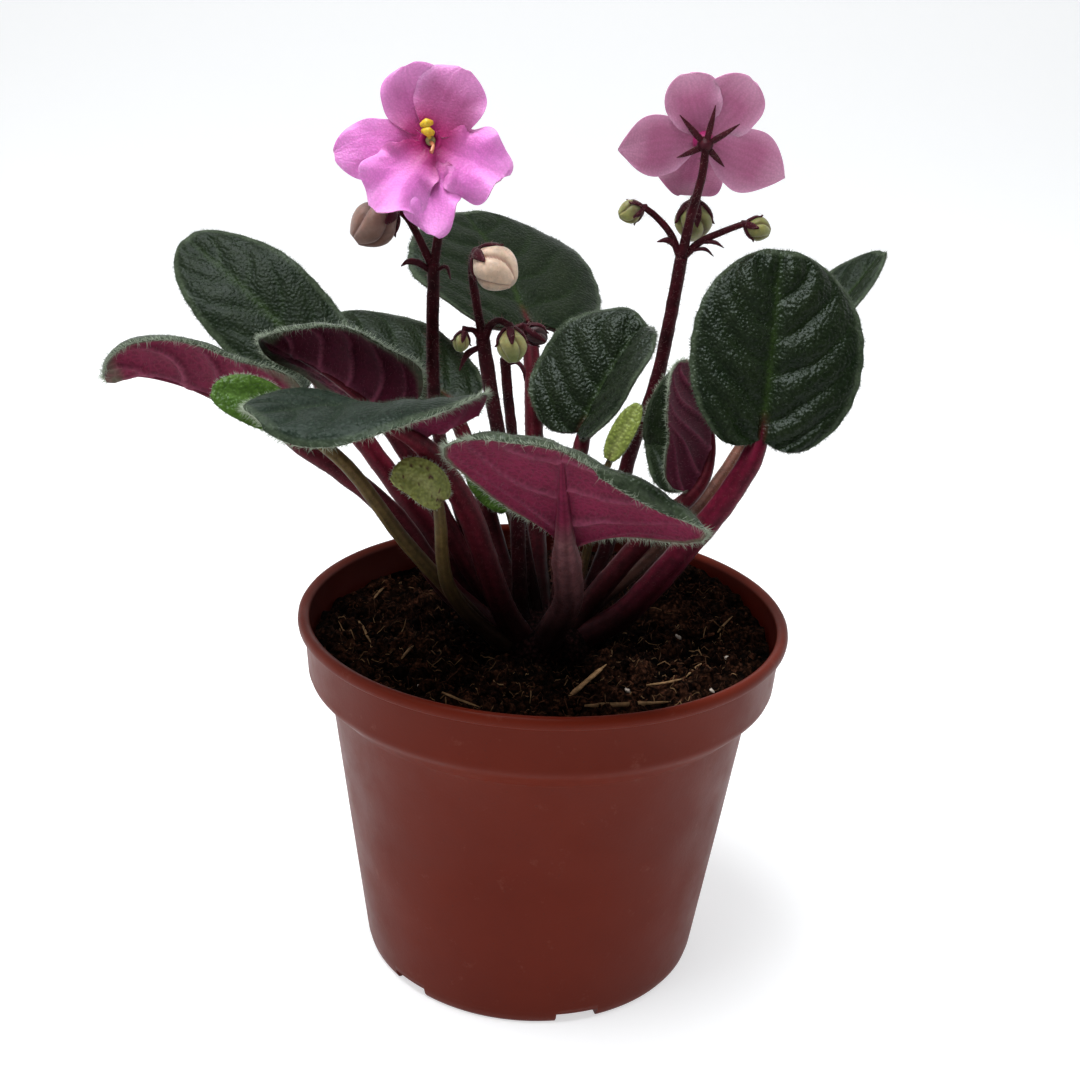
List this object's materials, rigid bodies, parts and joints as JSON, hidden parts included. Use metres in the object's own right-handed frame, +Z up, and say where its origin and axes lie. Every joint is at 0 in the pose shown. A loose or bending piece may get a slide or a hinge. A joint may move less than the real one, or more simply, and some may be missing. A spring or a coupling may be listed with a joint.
{
  "type": "potted african violet",
  "caption": "Low rosette of rounded fleshy leaves on thick red stalks with violet-pink flowers and buds on upright stalks, growing in soil in a plain round plastic pot.",
  "frame": {"origin": "centre of the pot's underside, on the surface it stands on", "axes": "+Z up, front towards -Y, +X to the right as seen from the front"},
  "size_m": [0.1705, 0.146, 0.2008],
  "materials": {
    "pot_plastic": "brown-red terracotta-coloured plastic, slightly glossy",
    "soil": "dark crumbly peat soil with fine straw",
    "red_stalk": "fleshy dark red, finely hairy",
    "leaf": "very dark green quilted upper side with a sheen, magenta underside, short pale hairs",
    "young_leaf": "fresh green, slightly glossy",
    "lime_leaf": "lime green, matte",
    "flower_stalk": "nearly black maroon, finely hairy",
    "petal": "soft violet-pink petals, darker towards the throat",
    "anther": "bright yellow, matte",
    "bud": "pale cream to brownish green buds, finely hairy"
  },
  "bodies": {
    "root": {"pot": "pot_plastic", "soil": "soil", "crown_and_leaf_stalks": "red_stalk", "leaf_back_left": "leaf", "leaf_far_left": "leaf", "leaf_small_left": "young_leaf", "leaf_front_left": "leaf", "leaf_inner_left": "leaf", "leaf_low_back_left": "leaf", "leaf_back": "leaf", "leaf_front": "leaf", "leaf_inner_right": "leaf", "leaf_right": "leaf", "leaf_folded_right": "leaf", "leaf_back_right": "leaf", "leaf_young_speckled": "lime_leaf", "leaf_young_green": "young_leaf", "leaf_young_lime": "lime_leaf", "flower_stalk_left": "flower_stalk", "flower_stalk_middle": "flower_stalk", "flower_stalk_short": "flower_stalk", "flower_stalk_right": "flower_stalk", "flower_left": "petal", "flower_left_anthers": "anther", "flower_right": "petal", "flower_right_anthers": "anther", "bud_left_brown": "bud", "bud_middle_cream": "bud", "bud_middle_green": "bud", "bud_middle_small": "bud", "bud_short_maroon": "bud", "bud_right_outer_left": "bud", "bud_right_outer_right": "bud", "bud_right_behind": "bud"}
  },
  "joints": []
}
